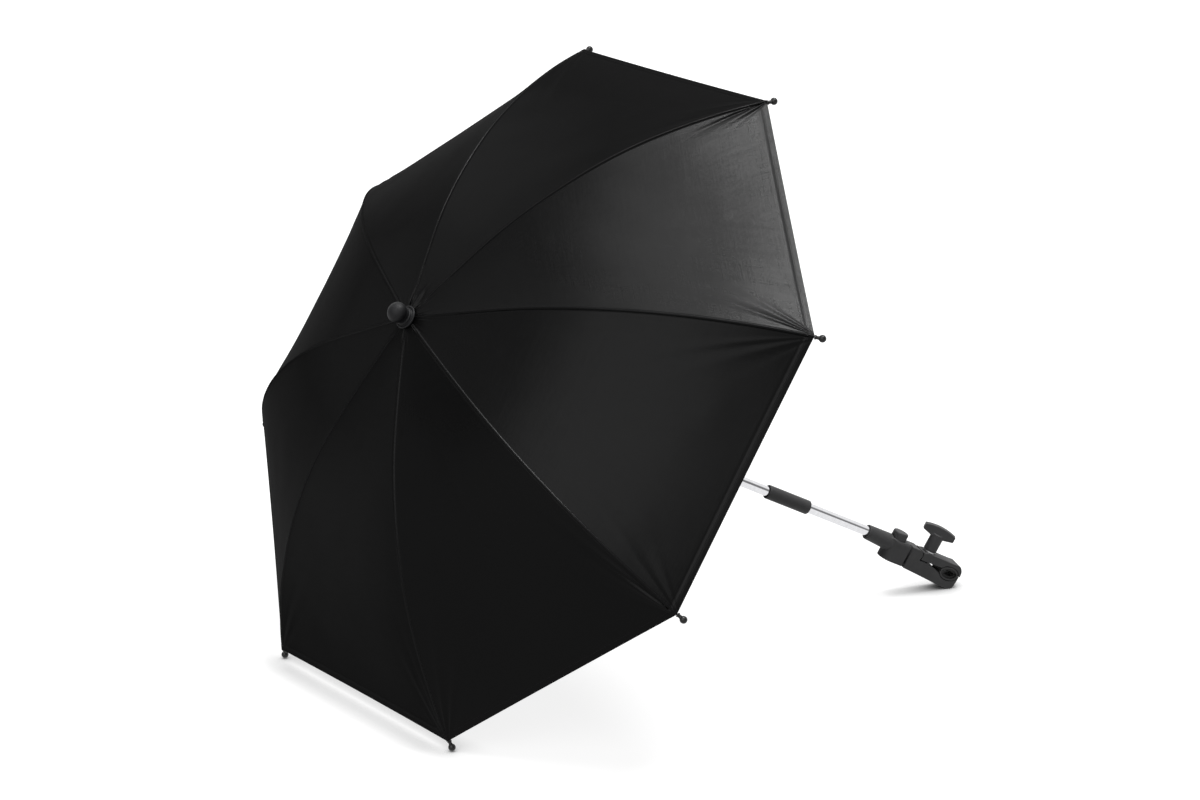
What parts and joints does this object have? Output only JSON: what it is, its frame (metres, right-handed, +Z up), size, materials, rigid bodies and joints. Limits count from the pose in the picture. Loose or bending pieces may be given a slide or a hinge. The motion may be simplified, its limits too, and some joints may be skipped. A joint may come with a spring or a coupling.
{
  "type": "stroller parasol",
  "caption": "Round folding sunshade on a tilting pole, with a screw clamp that grips a pushchair's frame tube.",
  "frame": {"origin": "centre of the parasol's box on the surface that it stands on", "axes": "+Z up from that surface, +X from the canopy towards the clamp, +Y across the canopy"},
  "size_m": [0.6516, 0.6534, 0.539],
  "materials": {
    "black_fabric": "matte woven polyester",
    "black_plastic": "moulded",
    "steel_wire": "dark galvanised wire",
    "chromed_steel": "polished chrome plate",
    "dark_grey_plastic": "moulded, fine grain",
    "grey_rubber": "matte",
    "zinc_steel": "zinc plated"
  },
  "bodies": {
    "clamp": {"clamp_body": "dark_grey_plastic", "clamp_nut": "zinc_steel", "jaw_pin": "zinc_steel"},
    "upper_jaw": {"upper_jaw": "dark_grey_plastic"},
    "screw_lift": {"thrust_washer": "zinc_steel"},
    "knob": {"clamp_knob": "dark_grey_plastic", "clamp_screw": "zinc_steel"},
    "housing": {"socket_housing": "dark_grey_plastic", "spring_cover": "black_plastic", "button_spring": "steel_wire", "swivel_bolt": "zinc_steel", "swivel_washer": "grey_rubber"},
    "button": {"lock_button": "dark_grey_plastic"},
    "lower_pole": {"lower_pole": "chromed_steel", "pole_end_plug": "black_plastic", "knuckle_tongue": "chromed_steel"},
    "sleeve": {"lock_sleeve": "dark_grey_plastic"},
    "mast": {"upper_pole": "chromed_steel", "knuckle_fork": "chromed_steel", "knuckle_pin": "steel_wire", "catch_wire": "steel_wire", "crown": "black_plastic", "crown_ring": "steel_wire", "canopy_washer": "grey_rubber", "ferrule_cap": "grey_rubber"},
    "runner": {"runner": "black_plastic", "runner_ring": "steel_wire"},
    "rib_1": {"rib_1": "steel_wire", "rib_tip_1": "black_plastic", "canopy_gore_1": "black_fabric"},
    "rib_2": {"rib_2": "steel_wire", "rib_tip_2": "black_plastic", "canopy_gore_2": "black_fabric"},
    "rib_3": {"rib_3": "steel_wire", "rib_tip_3": "black_plastic", "canopy_gore_3": "black_fabric"},
    "rib_4": {"rib_4": "steel_wire", "rib_tip_4": "black_plastic", "canopy_gore_4": "black_fabric"},
    "rib_5": {"rib_5": "steel_wire", "rib_tip_5": "black_plastic", "canopy_gore_5": "black_fabric"},
    "rib_6": {"rib_6": "steel_wire", "rib_tip_6": "black_plastic", "canopy_gore_6": "black_fabric"},
    "rib_7": {"rib_7": "steel_wire", "rib_tip_7": "black_plastic", "canopy_gore_7": "black_fabric"},
    "rib_8": {"rib_8": "steel_wire", "rib_tip_8": "black_plastic", "canopy_gore_8": "black_fabric"},
    "stretcher_1": {"stretcher_1": "steel_wire"},
    "stretcher_2": {"stretcher_2": "steel_wire"},
    "stretcher_3": {"stretcher_3": "steel_wire"},
    "stretcher_4": {"stretcher_4": "steel_wire"},
    "stretcher_5": {"stretcher_5": "steel_wire"},
    "stretcher_6": {"stretcher_6": "steel_wire"},
    "stretcher_7": {"stretcher_7": "steel_wire"},
    "stretcher_8": {"stretcher_8": "steel_wire"}
  },
  "joints": [
    {"name": "clamp_swivel", "type": "hinge", "parent": "clamp", "child": "housing", "pos_m": [0.2646, -0.10598, 0.03889], "axis": [0.8445, -0.2815, -0.4557], "range_deg": [-90, 90]},
    {"name": "pole_slide", "type": "slide", "parent": "housing", "child": "lower_pole", "axis": [-0.8445, 0.2815, 0.4557], "range_m": [0, 0.04]},
    {"name": "lock_button_press", "type": "slide", "parent": "housing", "child": "button", "axis": [-0.4073, 0.2149, -0.8876], "range_m": [0, 0.0022], "stiffness_N_per_m": 2500, "springref_m": -0.001, "deforming": ["button_spring"]},
    {"name": "sleeve_slide", "type": "slide", "parent": "lower_pole", "child": "sleeve", "axis": [-0.8445, 0.2815, 0.4557], "range_m": [-0.069, 0.2]},
    {"name": "knuckle_tilt", "type": "hinge", "parent": "lower_pole", "child": "mast", "pos_m": [-0.05578, 0, 0.22284], "axis": [-0.5324, -0.3479, -0.7717], "range_deg": [-42.5, 17.47]},
    {"name": "runner_slide", "type": "slide", "parent": "mast", "child": "runner", "axis": [0.8231, 0, -0.5678], "range_m": [0, 0.11732], "deforming": ["canopy_gore_1", "canopy_gore_2", "canopy_gore_3", "canopy_gore_4", "canopy_gore_5", "canopy_gore_6", "canopy_gore_7", "canopy_gore_8", "catch_wire"]},
    {"name": "knob_turn", "type": "hinge", "parent": "screw_lift", "child": "knob", "pos_m": [0.29029, -0.11534, 0.0361], "axis": [0.4073, -0.2149, 0.8876], "range_deg": [0, 1080]},
    {"name": "screw_lift", "type": "slide", "parent": "clamp", "child": "screw_lift", "axis": [0.4073, -0.2149, 0.8876], "range_m": [0, 0.0045]},
    {"name": "jaw_hinge", "type": "hinge", "parent": "clamp", "child": "upper_jaw", "pos_m": [0.27718, -0.11085, 0.04151], "axis": [-0.3478, -0.9352, -0.0668], "range_deg": [0, 12.4]},
    {"name": "rib_1_fold", "type": "hinge", "parent": "mast", "child": "rib_1", "pos_m": [-0.24638, 0.00325, 0.36386], "axis": [-0.2173, 0.9239, -0.315], "range_deg": [0, 57.63]},
    {"name": "rib_2_fold", "type": "hinge", "parent": "mast", "child": "rib_2", "pos_m": [-0.24638, -0.00325, 0.36386], "axis": [0.2173, 0.9239, 0.315], "range_deg": [0, 57.63]},
    {"name": "rib_3_fold", "type": "hinge", "parent": "mast", "child": "rib_3", "pos_m": [-0.249, -0.00785, 0.36008], "axis": [0.5246, 0.3827, 0.7605], "range_deg": [0, 57.63]},
    {"name": "rib_4_fold", "type": "hinge", "parent": "mast", "child": "rib_4", "pos_m": [-0.25269, -0.00785, 0.35472], "axis": [0.5246, -0.3827, 0.7605], "range_deg": [0, 57.63]},
    {"name": "rib_5_fold", "type": "hinge", "parent": "mast", "child": "rib_5", "pos_m": [-0.2553, -0.00325, 0.35094], "axis": [0.2173, -0.9239, 0.315], "range_deg": [0, 57.63]},
    {"name": "rib_6_fold", "type": "hinge", "parent": "mast", "child": "rib_6", "pos_m": [-0.2553, 0.00325, 0.35094], "axis": [-0.2173, -0.9239, -0.315], "range_deg": [0, 57.63]},
    {"name": "rib_7_fold", "type": "hinge", "parent": "mast", "child": "rib_7", "pos_m": [-0.25269, 0.00785, 0.35472], "axis": [-0.5246, -0.3827, -0.7605], "range_deg": [0, 57.63]},
    {"name": "rib_8_fold", "type": "hinge", "parent": "mast", "child": "rib_8", "pos_m": [-0.249, 0.00785, 0.36008], "axis": [-0.5246, 0.3827, -0.7605], "range_deg": [0, 57.63]},
    {"name": "stretcher_1_turn", "type": "hinge", "parent": "runner", "child": "stretcher_1", "pos_m": [-0.1808, 0.00325, 0.31862], "axis": [0.2173, -0.9239, 0.315], "range_deg": [0, 35.03]},
    {"name": "stretcher_2_turn", "type": "hinge", "parent": "runner", "child": "stretcher_2", "pos_m": [-0.1808, -0.00325, 0.31862], "axis": [-0.2173, -0.9239, -0.315], "range_deg": [0, 35.03]},
    {"name": "stretcher_3_turn", "type": "hinge", "parent": "runner", "child": "stretcher_3", "pos_m": [-0.18341, -0.00785, 0.31483], "axis": [-0.5246, -0.3827, -0.7605], "range_deg": [0, 35.03]},
    {"name": "stretcher_4_turn", "type": "hinge", "parent": "runner", "child": "stretcher_4", "pos_m": [-0.1871, -0.00785, 0.30948], "axis": [-0.5246, 0.3827, -0.7605], "range_deg": [0, 35.03]},
    {"name": "stretcher_5_turn", "type": "hinge", "parent": "runner", "child": "stretcher_5", "pos_m": [-0.18972, -0.00325, 0.30569], "axis": [-0.2173, 0.9239, -0.315], "range_deg": [0, 35.03]},
    {"name": "stretcher_6_turn", "type": "hinge", "parent": "runner", "child": "stretcher_6", "pos_m": [-0.18972, 0.00325, 0.30569], "axis": [0.2173, 0.9239, 0.315], "range_deg": [0, 35.03]},
    {"name": "stretcher_7_turn", "type": "hinge", "parent": "runner", "child": "stretcher_7", "pos_m": [-0.1871, 0.00785, 0.30948], "axis": [0.5246, 0.3827, 0.7605], "range_deg": [0, 35.03]},
    {"name": "stretcher_8_turn", "type": "hinge", "parent": "runner", "child": "stretcher_8", "pos_m": [-0.18341, 0.00785, 0.31483], "axis": [0.5246, -0.3827, 0.7605], "range_deg": [0, 35.03]}
  ],
  "couplings": [
    {"joint": "knob_turn", "follows": "screw_lift", "rad_per_m": 4188.8},
    {"joint": "jaw_hinge", "follows": "screw_lift", "rad_per_m": 48.093},
    {"joint": "rib_1_fold", "follows": "runner_slide", "rad_per_m": 8.5741},
    {"joint": "rib_2_fold", "follows": "runner_slide", "rad_per_m": 8.5741},
    {"joint": "rib_3_fold", "follows": "runner_slide", "rad_per_m": 8.5741},
    {"joint": "rib_4_fold", "follows": "runner_slide", "rad_per_m": 8.5741},
    {"joint": "rib_5_fold", "follows": "runner_slide", "rad_per_m": 8.5741},
    {"joint": "rib_6_fold", "follows": "runner_slide", "rad_per_m": 8.5741},
    {"joint": "rib_7_fold", "follows": "runner_slide", "rad_per_m": 8.5741},
    {"joint": "rib_8_fold", "follows": "runner_slide", "rad_per_m": 8.5741},
    {"joint": "stretcher_1_turn", "follows": "runner_slide", "rad_per_m": 5.2111},
    {"joint": "stretcher_2_turn", "follows": "runner_slide", "rad_per_m": 5.2111},
    {"joint": "stretcher_3_turn", "follows": "runner_slide", "rad_per_m": 5.2111},
    {"joint": "stretcher_4_turn", "follows": "runner_slide", "rad_per_m": 5.2111},
    {"joint": "stretcher_5_turn", "follows": "runner_slide", "rad_per_m": 5.2111},
    {"joint": "stretcher_6_turn", "follows": "runner_slide", "rad_per_m": 5.2111},
    {"joint": "stretcher_7_turn", "follows": "runner_slide", "rad_per_m": 5.2111},
    {"joint": "stretcher_8_turn", "follows": "runner_slide", "rad_per_m": 5.2111}
  ]
}
